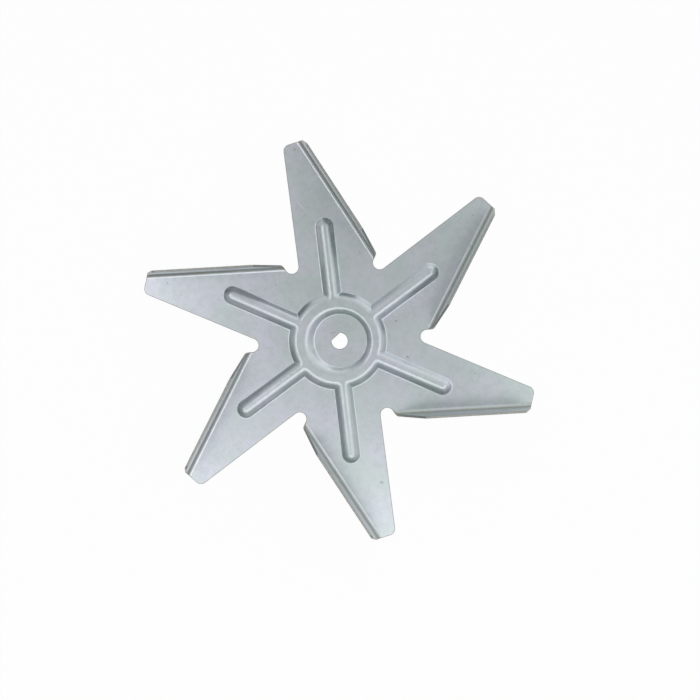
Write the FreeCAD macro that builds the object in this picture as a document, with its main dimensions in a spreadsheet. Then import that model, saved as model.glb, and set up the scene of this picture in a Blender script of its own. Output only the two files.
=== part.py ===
import FreeCAD, Part
import math
import os

import Sketcher

# Exhaust fan impeller: one steel sheet, punched to a star, pressed and folded.
# Millimetres and degrees. The origin is the middle of the shaft hole, on the sheet's
# lower face. +Z is the shaft's axis, the way the blades stand, and +X points at the
# flat of the hole. Bearings turn from +X towards +Y.

SIZES = {
    "wheel_diameter": 150.0,
    "sheet_thickness": 0.8,
    "arm_count": 6,
    "shaft_hole_diameter": 6.0,
    "shaft_flat_depth": 0.85,
    "bend_bearing": 50.4,
    "bend_offset": 28.2,
    "bend_radius": 1.0,
    "border_offset": 11.5,
    "tip_angle": 74.4,
    "tip_width": 5.6,
    "tip_corner_radius": 2.5,
    "notch_radius": 2.5,
    "blade_height": 17.0,
    "blade_end_angle": 58.0,
    "blade_corner_radius": 2.0,
    "relief_height": 2.0,
    "relief_wall_angle": 48.0,
    "relief_foot_radius": 0.5,
    "relief_crest_radius": 2.0,
    "relief_corner_radius": 1.0,
    "ring_radius": 13.9,
    "ring_half_width": 3.0,
    "rib_half_width": 2.2,
    "rib_angle": 26.6,
    "rib_end_gap": 8.3,
    "trim_clearance": 1.0,
}

ORIGIN_POINT = (-1, 1)
LEVEL_AXIS = -1
START, END, MIDDLE = range(1, 4)

# The bend starts at one distance from the axis, and is as deep as its outer radius.
BEND_BEARING = "Sizes.bend_bearing"
BEND_START = "(Sizes.bend_offset - Sizes.bend_radius)"
BEND_DEPTH = "(Sizes.bend_radius + Sizes.sheet_thickness)"
BEND_WRAP = "(pi / 2 * (Sizes.bend_radius + Sizes.sheet_thickness / 2))"

# Three places along the bend line, as the arm's outline finds them.
NOTCH_ALONG = "arm_outline.Constraints.notch_along / 1 mm"
BLADE_START = "arm_outline.Constraints.blade_start / 1 mm"
TIP_START = "arm_outline.Constraints.tip_start / 1 mm"

# The shapes that trim the blade's ends reach a clearance past what they cut.
TRIM_DEPTH = f"({BEND_DEPTH} + Sizes.trim_clearance)"
TRIM_TOP = "(Sizes.blade_height + Sizes.trim_clearance)"
TRIM_REACH = "(Sizes.wheel_diameter / 2 + Sizes.trim_clearance)"
TRIM_HEEL = f"({NOTCH_ALONG} - Sizes.trim_clearance)"

# The ring and ribs have sloping walls. A wall is placed by the middle of its thickness
# at half its height, and its foot spreads from there: more on the outside of the raised
# shape, less on its hollow underside.
WALL_RUN = "(Sizes.sheet_thickness + Sizes.relief_height) / 2 / tan(Sizes.relief_wall_angle)"
WALL_SKIN = "Sizes.sheet_thickness / sin(Sizes.relief_wall_angle)"
OUTER_SPREAD = f"({WALL_RUN} + {WALL_SKIN} / 2)"
HOLLOW_SPREAD = f"({WALL_RUN} - {WALL_SKIN} / 2)"
CREST_LEVEL = "(Sizes.sheet_thickness + Sizes.relief_height)"
ROOF_LEVEL = "Sizes.relief_height"
WALL_LEAN = "Sizes.relief_wall_angle - 90"
FOOT_RADIUS = "Sizes.relief_foot_radius"
CREST_RADIUS = "Sizes.relief_crest_radius"

# A rib points along its arm. It starts inside the ring and ends short of the bend line.
RIB_BEARING = "(Sizes.bend_bearing - Sizes.rib_angle)"
RIB_ROOT = "(Sizes.ring_radius - Sizes.ring_half_width)"
RIB_REACH = "((Sizes.bend_offset - Sizes.rib_end_gap) / sin(Sizes.rib_angle))"


def polar(radius, degrees):
    return (radius * math.cos(math.radians(degrees)), radius * math.sin(math.radians(degrees)))


def plus(point, step):
    return (point[0] + step[0], point[1] + step[1])


def near(value, other):
    return abs(value - other) < 0.001


def make_document():
    document = FreeCAD.newDocument("exhaust_fan_impeller")
    sheet = document.addObject("Spreadsheet::Sheet", "Sizes")
    for row, (alias, value) in enumerate(SIZES.items(), start=1):
        sheet.set(f"A{row}", alias.replace("_", " "))
        sheet.set(f"B{row}", str(value))
        sheet.setAlias(f"B{row}", alias)
    document.recompute()
    return document


def origin_feature(body, role):
    return next(feature for feature in body.Origin.OriginFeatures if feature.Role == role)


def add_sketch(body, name, role, bearing=None, along=None):
    """Sketch on an origin plane, turned about Z to a bearing and moved along its normal."""
    sketch = body.newObject("Sketcher::SketchObject", name)
    sketch.AttachmentSupport = [(origin_feature(body, role), "")]
    sketch.MapMode = "FlatFace"
    if bearing is not None:
        upright = FreeCAD.Vector(0, 0, 1) if role == "XY_Plane" else FreeCAD.Vector(0, 1, 0)
        quarter_turn = FreeCAD.Rotation(upright, 90)
        sketch.AttachmentOffset = FreeCAD.Placement(FreeCAD.Vector(0, 0, 0), quarter_turn)
        sketch.setExpression("AttachmentOffset.Rotation.Angle", bearing)
    if along is not None:
        sketch.setExpression("AttachmentOffset.Base.x", f"{along} * sin({bearing})")
        sketch.setExpression("AttachmentOffset.Base.z", f"{along} * cos({bearing})")
    return sketch


def add_line(sketch, start, end, construction=False):
    line = Part.LineSegment(FreeCAD.Vector(*start, 0), FreeCAD.Vector(*end, 0))
    return sketch.addGeometry(line, construction)


def add_arc(sketch, centre, radius, start_degrees, end_degrees):
    circle = Part.Circle(FreeCAD.Vector(*centre, 0), FreeCAD.Vector(0, 0, 1), radius)
    arc = Part.ArcOfCircle(circle, math.radians(start_degrees), math.radians(end_degrees))
    return sketch.addGeometry(arc, False)


def relate(sketch, kind, *places):
    return sketch.addConstraint(Sketcher.Constraint(kind, *places))


def chain(sketch, pieces):
    """Each piece's end meets the next piece's start."""
    for piece, following in zip(pieces, pieces[1:]):
        relate(sketch, "Coincident", piece, END, following, START)


def size(sketch, name, formula, kind, *places):
    """Dimension with a name, driven by a formula of the named sizes."""
    number = relate(sketch, kind, *places)
    sketch.renameConstraint(number, name)
    sketch.setExpression(f".Constraints.{name}", formula)


def read_out(sketch, name, kind, *places):
    """Dimension that only reports a length, for other shapes to use."""
    number = relate(sketch, kind, *places)
    sketch.setDriving(number, False)
    sketch.renameConstraint(number, name)


def place(sketch, name, piece, end, x_formula, y_formula):
    """Puts a point of a piece at its two distances from the sketch's origin."""
    here = sketch.getPoint(piece, end)
    size(sketch, f"{name}_x", x_formula, "DistanceX", *ORIGIN_POINT, piece, end, here.x)
    size(sketch, f"{name}_y", y_formula, "DistanceY", *ORIGIN_POINT, piece, end, here.y)


def add_polygon(sketch, name, corners):
    """Straight-sided loop. It is drawn as a regular one, and its dimensions then pull
    each corner to its place."""
    turn = 360 / len(corners)
    radius = SIZES["wheel_diameter"] / 2
    points = [polar(radius, number * turn) for number in range(len(corners))]
    sides = [add_line(sketch, a, b) for a, b in zip(points, points[1:] + points[:1])]
    chain(sketch, sides + sides[:1])
    for number, (side, corner) in enumerate(zip(sides, corners), start=1):
        place(sketch, f"{name}_{number}", side, START, *corner)


def add_pad(body, name, sketch, length, taper=None):
    pad = body.newObject("PartDesign::Pad", name)
    pad.Profile = sketch
    pad.setExpression("Length", length)
    if taper is not None:
        pad.setExpression("TaperAngle", taper)
    body.Document.recompute()
    return pad


def add_pocket(body, name, sketch, length, taper=None):
    """Cut that leaves the sketch on the side of its normal."""
    pocket = body.newObject("PartDesign::Pocket", name)
    pocket.Profile = sketch
    pocket.Reversed = True
    pocket.setExpression("Length", length)
    if taper is not None:
        pocket.setExpression("TaperAngle", taper)
    body.Document.recompute()
    return pocket


def add_turned(body, kind, name, sketch):
    """Revolution or Groove of a half section, all the way round the shaft's axis."""
    turned = body.newObject(f"PartDesign::{kind}", name)
    turned.Profile = sketch
    turned.ReferenceAxis = (origin_feature(body, "Z_Axis"), [""])
    turned.Angle = 360
    body.Document.recompute()
    return turned


def add_pattern(body, name, features):
    pattern = body.newObject("PartDesign::PolarPattern", name)
    pattern.Originals = features
    pattern.Axis = (origin_feature(body, "Z_Axis"), [""])
    pattern.Angle = 360
    pattern.setExpression("Occurrences", "Sizes.arm_count")
    body.Tip = pattern
    body.Document.recompute()
    return pattern


def add_fillet(body, name, edges, radius):
    base = body.Tip
    numbered = enumerate(base.Shape.Edges, start=1)
    names = [f"Edge{n}" for n, edge in numbered if any(edge.isSame(e) for e in edges)]
    fillet = body.newObject("PartDesign::Fillet", name)
    fillet.Base = (base, names)
    fillet.setExpression("Radius", radius)
    body.Document.recompute()
    return fillet


class ArmLayout:
    """First positions for one arm's outline, before its dimensions place it.

    x runs along the blade's bend line, and y across it, towards the arm's plain border.
    """

    def __init__(self):
        bend = SIZES["bend_offset"]
        tip = SIZES["tip_angle"]
        reach = SIZES["wheel_diameter"] / 2
        outer = bend + SIZES["sheet_thickness"]
        bend_start = SIZES["bend_radius"] - bend
        outer_along = math.sqrt(reach ** 2 - outer ** 2)
        tip_run = (outer + bend_start) / math.tan(math.radians(tip))
        self.outer_corner = (outer_along, -outer)
        self.tip_start = (outer_along + tip_run, bend_start)
        self.tip_end = plus(self.tip_start, polar(SIZES["tip_width"], tip))

        # The plain border runs from the tip's end at its own distance from the axis.
        offset = SIZES["border_offset"]
        tip_bearing = math.degrees(math.atan2(self.tip_end[1], self.tip_end[0]))
        spread = math.degrees(math.acos(offset / math.hypot(*self.tip_end)))
        self.across = tip_bearing + spread
        self.border = 90 - self.across

        # The rounded corner's centre lies inside the tip edge and the plain border.
        radius = SIZES["tip_corner_radius"]
        base = plus(self.tip_start, polar(radius, tip + 90))
        outward = polar(1, self.across)
        shortfall = offset - radius - base[0] * outward[0] - base[1] * outward[1]
        climb = shortfall / math.cos(math.radians(tip - self.across))
        self.corner = plus(base, polar(climb, tip))
        self.tip_touch = plus(self.corner, polar(radius, tip - 90))
        self.border_touch = plus(self.corner, polar(radius, self.across))

        # The notch's middle is on the bend line, its own radius off the next arm's border.
        notch = SIZES["notch_radius"]
        self.step = 360 / SIZES["arm_count"]
        fan = math.radians(self.step + self.border)
        along = (offset + notch + bend * math.cos(fan)) / math.sin(fan)
        low_bearing = math.degrees(math.atan2(-bend, along))
        self.notch_low = (along, -bend)
        self.notch_high = polar(math.hypot(along, bend), low_bearing + self.step)
        end = SIZES["blade_end_angle"]
        self.cut_low = plus(self.notch_low, polar(notch, 90 - end))
        self.cut_high = plus(self.notch_high, polar(-notch, self.across))
        cut_run = (self.cut_low[1] - bend_start) / math.tan(math.radians(end))
        self.blade_start = (self.cut_low[0] + cut_run, bend_start)


def draw_arm_outline(body):
    """One arm of the flat star, from the axis to its tip and to the start of the bend."""
    layout = ArmLayout()
    tip = SIZES["tip_angle"]
    notch = SIZES["notch_radius"]
    sketch = add_sketch(body, "arm_outline", "XY_Plane", BEND_BEARING)
    to_low = add_line(sketch, (0, 0), layout.notch_low)
    low_step = add_line(sketch, layout.notch_low, layout.cut_low)
    cut = add_line(sketch, layout.cut_low, layout.blade_start)
    bend = add_line(sketch, layout.blade_start, layout.tip_start)
    tip_edge = add_line(sketch, layout.tip_start, layout.tip_touch)
    corner = add_arc(sketch, layout.corner, SIZES["tip_corner_radius"], tip - 90, layout.across)
    plain = add_line(sketch, layout.border_touch, layout.cut_high)
    high_step = add_line(sketch, layout.cut_high, layout.notch_high)
    to_centre = add_line(sketch, layout.notch_high, (0, 0))
    outer_rest = add_line(sketch, layout.tip_start, layout.outer_corner, construction=True)
    tip_rest = add_line(sketch, layout.tip_touch, layout.tip_end, construction=True)

    chain(sketch, [plain, high_step, to_centre, to_low, low_step, cut, bend, tip_edge, tip_rest])
    relate(sketch, "Coincident", bend, END, outer_rest, START)
    relate(sketch, "Coincident", to_low, START, *ORIGIN_POINT)
    relate(sketch, "Tangent", tip_edge, END, corner, START)
    relate(sketch, "Tangent", corner, END, plain, START)
    relate(sketch, "Parallel", tip_edge, outer_rest)
    relate(sketch, "Parallel", tip_edge, tip_rest)
    relate(sketch, "PointOnObject", tip_rest, END, plain)
    relate(sketch, "Perpendicular", low_step, cut)
    relate(sketch, "Perpendicular", high_step, plain)
    relate(sketch, "Equal", to_low, to_centre)
    relate(sketch, "Horizontal", bend)

    size(sketch, "arm_step", "360 / Sizes.arm_count", "Angle",
         to_low, START, to_centre, END, math.radians(layout.step))
    size(sketch, "bend_line", "-Sizes.bend_offset", "DistanceY",
         *ORIGIN_POINT, to_low, END, layout.notch_low[1])
    size(sketch, "bend_start", f"-{BEND_START}", "DistanceY",
         *ORIGIN_POINT, cut, END, layout.blade_start[1])
    size(sketch, "low_notch", "Sizes.notch_radius", "Distance", low_step, notch)
    size(sketch, "high_notch", "Sizes.notch_radius", "Distance", high_step, notch)
    size(sketch, "cut_angle", "-Sizes.blade_end_angle", "Angle",
         cut, math.radians(-SIZES["blade_end_angle"]))
    size(sketch, "tip_angle", "Sizes.tip_angle", "Angle", tip_edge, math.radians(tip))
    size(sketch, "tip_width", "Sizes.tip_width", "Distance",
         tip_edge, START, tip_rest, END, SIZES["tip_width"])
    size(sketch, "corner_radius", "Sizes.tip_corner_radius", "Radius",
         corner, SIZES["tip_corner_radius"])
    size(sketch, "border_offset", "Sizes.border_offset", "Distance",
         *ORIGIN_POINT, plain, SIZES["border_offset"])
    size(sketch, "outer_face", "-(Sizes.bend_offset + Sizes.sheet_thickness)", "DistanceY",
         *ORIGIN_POINT, outer_rest, END, layout.outer_corner[1])
    size(sketch, "outer_reach", "Sizes.wheel_diameter / 2", "Distance",
         *ORIGIN_POINT, outer_rest, END, SIZES["wheel_diameter"] / 2)
    read_out(sketch, "notch_along", "DistanceX",
             *ORIGIN_POINT, to_low, END, layout.notch_low[0])
    read_out(sketch, "blade_start", "DistanceX",
             *ORIGIN_POINT, cut, END, layout.blade_start[0])
    read_out(sketch, "tip_start", "DistanceX",
             *ORIGIN_POINT, bend, END, layout.tip_start[0])
    return sketch


def draw_fold_profile(body):
    """Section of the bend and the blade, looking along the bend line."""
    inner_radius = SIZES["bend_radius"]
    outer_radius = inner_radius + SIZES["sheet_thickness"]
    start = inner_radius - SIZES["bend_offset"]
    top = SIZES["blade_height"]
    outer_x = start - outer_radius
    inner_x = start - inner_radius
    sketch = add_sketch(body, "fold_profile", "YZ_Plane", BEND_BEARING, NOTCH_ALONG)
    outer = add_arc(sketch, (start, outer_radius), outer_radius, 180, 270)
    inner = add_arc(sketch, (start, outer_radius), inner_radius, 180, 270)
    outer_side = add_line(sketch, (outer_x, top), (outer_x, outer_radius))
    inner_side = add_line(sketch, (inner_x, outer_radius), (inner_x, top))
    free_edge = add_line(sketch, (inner_x, top), (outer_x, top))
    seam = add_line(sketch, (start, 0), (start, SIZES["sheet_thickness"]))

    chain(sketch, [inner_side, free_edge, outer_side, outer, seam])
    relate(sketch, "Coincident", seam, END, inner, END)
    relate(sketch, "Coincident", inner, START, inner_side, START)
    relate(sketch, "Coincident", outer, MIDDLE, inner, MIDDLE)
    for arc in (outer, inner):
        relate(sketch, "Horizontal", arc, MIDDLE, arc, START)
        relate(sketch, "Vertical", arc, MIDDLE, arc, END)
    relate(sketch, "Vertical", outer_side)
    relate(sketch, "Vertical", inner_side)
    relate(sketch, "Horizontal", free_edge)

    place(sketch, "bend_centre", outer, MIDDLE, f"-{BEND_START}", BEND_DEPTH)
    size(sketch, "outer_radius", BEND_DEPTH, "Radius", outer, outer_radius)
    size(sketch, "inner_radius", "Sizes.bend_radius", "Radius", inner, inner_radius)
    size(sketch, "blade_top", "Sizes.blade_height", "DistanceY",
         *ORIGIN_POINT, free_edge, START, top)
    return sketch


def draw_fold_plan_trim(body):
    """What the two end cuts take off the bend, seen from above."""
    sketch = add_sketch(body, "fold_plan_trim", "XY_Plane", BEND_BEARING)
    close = f"-{BEND_START}"
    far = f"-({BEND_START} + {TRIM_DEPTH})"
    add_polygon(sketch, "heel", [
        (BLADE_START, close),
        (f"{BLADE_START} + {TRIM_DEPTH} / tan(Sizes.blade_end_angle)", far),
        (TRIM_HEEL, far),
        (TRIM_HEEL, close),
    ])
    add_polygon(sketch, "tip", [
        (TIP_START, close),
        (f"{TIP_START} - {TRIM_DEPTH} / tan(Sizes.tip_angle)", far),
        (TRIM_REACH, far),
        (TRIM_REACH, close),
    ])
    return sketch


def draw_blade_side_trim(body):
    """What the two end cuts take off the blade, seen square to it. Round the bend, the
    cuts go on at the length that the flat sheet had there."""
    sketch = add_sketch(body, "blade_side_trim", "XZ_Plane", BEND_BEARING, BEND_START)
    heel_turn = f"{BLADE_START} + {BEND_WRAP} / tan(Sizes.blade_end_angle)"
    heel_run = f"({TRIM_TOP} - {BEND_DEPTH}) / tan(Sizes.blade_end_angle)"
    add_polygon(sketch, "heel", [
        (BLADE_START, "Sizes.sheet_thickness"),
        (heel_turn, BEND_DEPTH),
        (f"{heel_turn} + {heel_run}", TRIM_TOP),
        (TRIM_HEEL, TRIM_TOP),
        (TRIM_HEEL, "Sizes.sheet_thickness"),
    ])

    tip = SIZES["tip_angle"]
    slope = math.tan(math.radians(tip))
    radius = SIZES["blade_corner_radius"]
    thick = SIZES["sheet_thickness"]
    depth = SIZES["bend_radius"] + thick
    top = SIZES["blade_height"]
    above = top + SIZES["trim_clearance"]
    reach = SIZES["wheel_diameter"] / 2 + SIZES["trim_clearance"]
    tip_start = ArmLayout().tip_start[0]
    turn = (tip_start - depth / slope, depth)
    side_along = turn[0] - (top - radius - depth) / slope
    centre = (side_along - radius / math.sin(math.radians(tip)), top - radius)
    touch = plus(centre, polar(radius, 90 - tip))
    wrap = add_line(sketch, (tip_start, thick), turn)
    edge = add_line(sketch, turn, touch)
    corner = add_arc(sketch, centre, radius, 90 - tip, 90)
    rise = add_line(sketch, (centre[0], top), (centre[0], above))
    across = add_line(sketch, (centre[0], above), (reach, above))
    drop = add_line(sketch, (reach, above), (reach, thick))
    back = add_line(sketch, (reach, thick), (tip_start, thick))

    chain(sketch, [rise, across, drop, back, wrap, edge])
    relate(sketch, "Tangent", edge, END, corner, START)
    relate(sketch, "Coincident", corner, END, rise, START)
    relate(sketch, "Vertical", corner, MIDDLE, corner, END)
    relate(sketch, "Vertical", rise)
    relate(sketch, "Horizontal", across)
    relate(sketch, "Vertical", drop)
    relate(sketch, "Horizontal", back)
    place(sketch, "tip_heel", wrap, START, TIP_START, "Sizes.sheet_thickness")
    place(sketch, "tip_turn", edge, START,
          f"{TIP_START} - {BEND_WRAP} / tan(Sizes.tip_angle)", BEND_DEPTH)
    place(sketch, "far_corner", drop, START, TRIM_REACH, TRIM_TOP)
    size(sketch, "tip_lean", "180 - Sizes.tip_angle", "Angle", edge, math.radians(180 - tip))
    size(sketch, "crown_level", "Sizes.blade_height", "DistanceY",
         *ORIGIN_POINT, corner, END, top)
    size(sketch, "corner_radius", "Sizes.blade_corner_radius", "Radius", corner, radius)
    return sketch


def draw_notch(body):
    """Round relief on the bend line, at the root of two arms."""
    sketch = add_sketch(body, "notch_outline", "XY_Plane", BEND_BEARING)
    centre = FreeCAD.Vector(*ArmLayout().notch_low, 0)
    circle = Part.Circle(centre, FreeCAD.Vector(0, 0, 1), SIZES["notch_radius"])
    notch = sketch.addGeometry(circle, False)
    place(sketch, "notch", notch, MIDDLE, NOTCH_ALONG, "-Sizes.bend_offset")
    size(sketch, "notch_radius", "Sizes.notch_radius", "Radius", notch, SIZES["notch_radius"])
    return sketch


def make_arms(body):
    """Flat arms, each with its folded blade, and the notches between them."""
    fold_length = f"Sizes.wheel_diameter / 2 - {NOTCH_ALONG}"
    plate = add_pad(body, "arm_plate", draw_arm_outline(body), "Sizes.sheet_thickness")
    fold = add_pad(body, "folded_blade", draw_fold_profile(body), fold_length)
    plan = add_pocket(body, "fold_ends", draw_fold_plan_trim(body), "Sizes.blade_height")
    side = add_pocket(body, "blade_ends", draw_blade_side_trim(body), TRIM_DEPTH)
    notch = add_pocket(body, "notch", draw_notch(body), "Sizes.blade_height")
    add_pattern(body, "arms", [plate, fold, plan, side, notch])


def draw_ring_section(body, name, spread, level):
    """Half section of the ring: a band with two sloping walls, standing on the lower face."""
    sketch = add_sketch(body, name, "XZ_Plane")
    foot = f"(Sizes.ring_half_width + {spread})"
    top = f"({foot} - {level} / tan(Sizes.relief_wall_angle))"
    add_polygon(sketch, "band", [
        (f"Sizes.ring_radius - {foot}", "0"),
        (f"Sizes.ring_radius + {foot}", "0"),
        (f"Sizes.ring_radius + {top}", level),
        (f"Sizes.ring_radius - {top}", level),
    ])
    return sketch


def draw_rib_foot(body, name, spread):
    """Foot of a rib on the lower face, from the ring's inner wall to its round end."""
    half = SIZES["rib_half_width"]
    root = SIZES["ring_radius"] - SIZES["ring_half_width"]
    middle = root + 2 * half
    sketch = add_sketch(body, name, "XY_Plane", RIB_BEARING)
    low = add_line(sketch, (root, -half), (middle, -half))
    end = add_arc(sketch, (middle, 0), half, -90, 90)
    high = add_line(sketch, (middle, half), (root, half))
    start = add_line(sketch, (root, half), (root, -half))
    chain(sketch, [high, start, low])
    relate(sketch, "Tangent", low, END, end, START)
    relate(sketch, "Tangent", end, END, high, START)
    relate(sketch, "Horizontal", low)
    relate(sketch, "Horizontal", high)
    relate(sketch, "Vertical", start)
    relate(sketch, "PointOnObject", end, MIDDLE, LEVEL_AXIS)
    size(sketch, "half_width", f"Sizes.rib_half_width + {spread}", "Radius", end, half)
    size(sketch, "end_middle", f"{RIB_REACH} - Sizes.rib_half_width", "DistanceX",
         *ORIGIN_POINT, end, MIDDLE, middle)
    size(sketch, "root", RIB_ROOT, "DistanceX",
         *ORIGIN_POINT, start, START, root)
    return sketch


def rib_reach():
    across = SIZES["bend_offset"] - SIZES["rib_end_gap"]
    return across / math.sin(math.radians(SIZES["rib_angle"]))


def lies_within(shape, radius):
    return all(math.hypot(point.X, point.Y) < radius for point in shape.Vertexes)


def corner_edges(shape, low, high):
    """Edges that climb where the ribs' walls run into the ring's outer wall."""
    halfway = (SIZES["ring_radius"] + rib_reach()) / 2

    def climbs(edge):
        levels = sorted(point.Z for point in edge.Vertexes)
        return len(levels) == 2 and near(levels[0], low) and near(levels[1], high)

    def is_curved(edge):
        return not isinstance(edge.Curve, Part.Line)

    return [e for e in shape.Edges if climbs(e) and is_curved(e) and lies_within(e, halfway)]


def outline_edges(shape, level):
    """Edges round the relief where the sheet is level, without the star's own outline."""
    halfway = (rib_reach() + SIZES["wheel_diameter"] / 2) / 2

    def is_level(face):
        return all(near(point.Z, level) for point in face.Vertexes)

    wires = [wire for face in shape.Faces if is_level(face) for wire in face.Wires]
    return [edge for wire in wires if lies_within(wire, halfway) for edge in wire.Edges]


def make_ring_and_ribs(body):
    """Raised ring and ribs: their outside is added to the plate, then their hollow is
    cut, and every turn of the sheet is rounded, tighter on its inner side."""
    plate_level = SIZES["sheet_thickness"]
    roof_level = SIZES["relief_height"]
    crest_level = plate_level + roof_level
    section = draw_ring_section(body, "ring_section", OUTER_SPREAD, CREST_LEVEL)
    add_turned(body, "Revolution", "ring_outside", section)
    foot = draw_rib_foot(body, "rib_foot", OUTER_SPREAD)
    add_pattern(body, "ribs_outside", [add_pad(body, "rib_outside", foot, CREST_LEVEL, WALL_LEAN)])
    section = draw_ring_section(body, "ring_hollow_section", HOLLOW_SPREAD, ROOF_LEVEL)
    add_turned(body, "Groove", "ring_hollow", section)
    foot = draw_rib_foot(body, "rib_hollow_foot", HOLLOW_SPREAD)
    add_pattern(body, "rib_hollows", [add_pocket(body, "rib_hollow", foot, ROOF_LEVEL, WALL_LEAN)])

    corners = corner_edges(body.Tip.Shape, plate_level, crest_level)
    add_fillet(body, "corners", corners, "Sizes.relief_corner_radius")
    corners = corner_edges(body.Tip.Shape, 0, roof_level)
    add_fillet(body, "hollow_corners", corners, f"Sizes.relief_corner_radius + {WALL_SKIN}")
    add_fillet(body, "foot", outline_edges(body.Tip.Shape, plate_level), FOOT_RADIUS)
    crest = outline_edges(body.Tip.Shape, crest_level)
    add_fillet(body, "crest", crest, f"{CREST_RADIUS} + Sizes.sheet_thickness")
    hollow_foot = outline_edges(body.Tip.Shape, 0)
    add_fillet(body, "hollow_foot", hollow_foot, f"{FOOT_RADIUS} + Sizes.sheet_thickness")
    add_fillet(body, "hollow_roof", outline_edges(body.Tip.Shape, roof_level), CREST_RADIUS)


def make_shaft_hole(body):
    """D-shaped hole: a round one with a flat across its +X side."""
    radius = SIZES["shaft_hole_diameter"] / 2
    flat = radius - SIZES["shaft_flat_depth"]
    half_flat = math.degrees(math.acos(flat / radius))
    sketch = add_sketch(body, "shaft_outline", "XY_Plane")
    round_wall = add_arc(sketch, (0, 0), radius, half_flat, 360 - half_flat)
    flat_wall = add_line(sketch, polar(radius, -half_flat), polar(radius, half_flat))
    chain(sketch, [round_wall, flat_wall, round_wall])
    relate(sketch, "Coincident", round_wall, MIDDLE, *ORIGIN_POINT)
    relate(sketch, "Vertical", flat_wall)
    size(sketch, "radius", "Sizes.shaft_hole_diameter / 2", "Radius", round_wall, radius)
    size(sketch, "flat", "Sizes.shaft_hole_diameter / 2 - Sizes.shaft_flat_depth", "DistanceX",
         *ORIGIN_POINT, flat_wall, START, flat)
    add_pocket(body, "shaft_hole", sketch, "Sizes.sheet_thickness")


def make_impeller(document):
    body = document.addObject("PartDesign::Body", "impeller")
    body.Label = "impeller"
    make_arms(body)
    make_ring_and_ribs(body)
    make_shaft_hole(body)
    body.Placement = FreeCAD.Placement()
    document.recompute()
    return body


def check(document, body):
    """Every shape is whole, each cut takes something away, and the wheel is one solid."""
    for item in document.Objects:
        if "Invalid" in item.State or "Error" in item.State:
            raise RuntimeError(f"{item.Name} could not be made")
    for feature in body.Group:
        if feature.TypeId in ("PartDesign::Pocket", "PartDesign::Groove"):
            if feature.Shape.Volume >= feature.BaseFeature.Shape.Volume:
                raise RuntimeError(f"{feature.Name} cuts nothing")
    shape = body.Shape
    if shape.isNull() or not shape.isValid() or len(shape.Solids) != 1:
        raise RuntimeError(f"{body.Label} is not one valid solid")


def main():
    document = make_document()
    impeller = make_impeller(document)
    check(document, impeller)
    os.makedirs("parts", exist_ok=True)
    impeller.Shape.exportStep(f"parts/{impeller.Label}.step")
    print(f"{impeller.Label}: {impeller.Shape.Volume:.1f} mm3, {len(impeller.Shape.Faces)} faces")


main()
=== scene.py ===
import math

import bpy
import numpy as np
from mathutils import Matrix, Vector, kdtree
from mathutils.geometry import delaunay_2d_cdt


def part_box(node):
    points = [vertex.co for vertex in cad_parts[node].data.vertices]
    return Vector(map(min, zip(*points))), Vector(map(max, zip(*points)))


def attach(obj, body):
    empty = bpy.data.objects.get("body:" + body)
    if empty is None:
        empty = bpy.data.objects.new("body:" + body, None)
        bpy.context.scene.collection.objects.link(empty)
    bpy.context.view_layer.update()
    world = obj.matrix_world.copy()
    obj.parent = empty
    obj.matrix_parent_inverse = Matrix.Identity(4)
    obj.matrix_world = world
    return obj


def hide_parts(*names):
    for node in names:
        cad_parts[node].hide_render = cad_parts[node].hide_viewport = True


bl_info = {
    "name": "Exhaust fan impeller",
    "version": (1, 0, 0),
    "blender": (4, 5, 0),
    "location": "3D View > Sidebar > Impeller",
    "description": "Builds the looks of a pressed sheet-steel fan impeller round its packed model",
    "category": "Object",
}

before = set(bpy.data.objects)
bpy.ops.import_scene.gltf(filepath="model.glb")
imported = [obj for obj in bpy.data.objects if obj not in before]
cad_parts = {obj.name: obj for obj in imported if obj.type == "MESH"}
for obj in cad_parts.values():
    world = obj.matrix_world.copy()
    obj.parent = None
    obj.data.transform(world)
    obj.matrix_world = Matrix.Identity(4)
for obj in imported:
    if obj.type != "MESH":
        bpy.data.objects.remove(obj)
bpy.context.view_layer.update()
NODE_LOW, NODE_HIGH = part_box("impeller")

MM = 0.001
FULL_TURN = 2 * math.pi
RIGHT_ANGLE = math.pi / 2


def linear(hex_colour):
    """Scene-linear colour of an sRGB hex value."""
    channels = [int(hex_colour[place:place + 2], 16) / 255 for place in (1, 3, 5)]
    return tuple(c / 12.92 if c <= 0.04045 else ((c + 0.055) / 1.055) ** 2.4 for c in channels)


def with_alpha(colour):
    return (*colour, 1.0)


def length_property(name, description, default):
    return bpy.props.FloatProperty(
        name=name, description=description, default=default, min=0.0, unit="LENGTH", precision=5)


def angle_property(name, description, degrees):
    return bpy.props.FloatProperty(
        name=name, description=description, default=math.radians(degrees), subtype="ANGLE")


def colour_property(name, description, hex_colour):
    return bpy.props.FloatVectorProperty(
        name=name, description=description, default=linear(hex_colour), size=3,
        min=0.0, max=1.0, subtype="COLOR")


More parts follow.
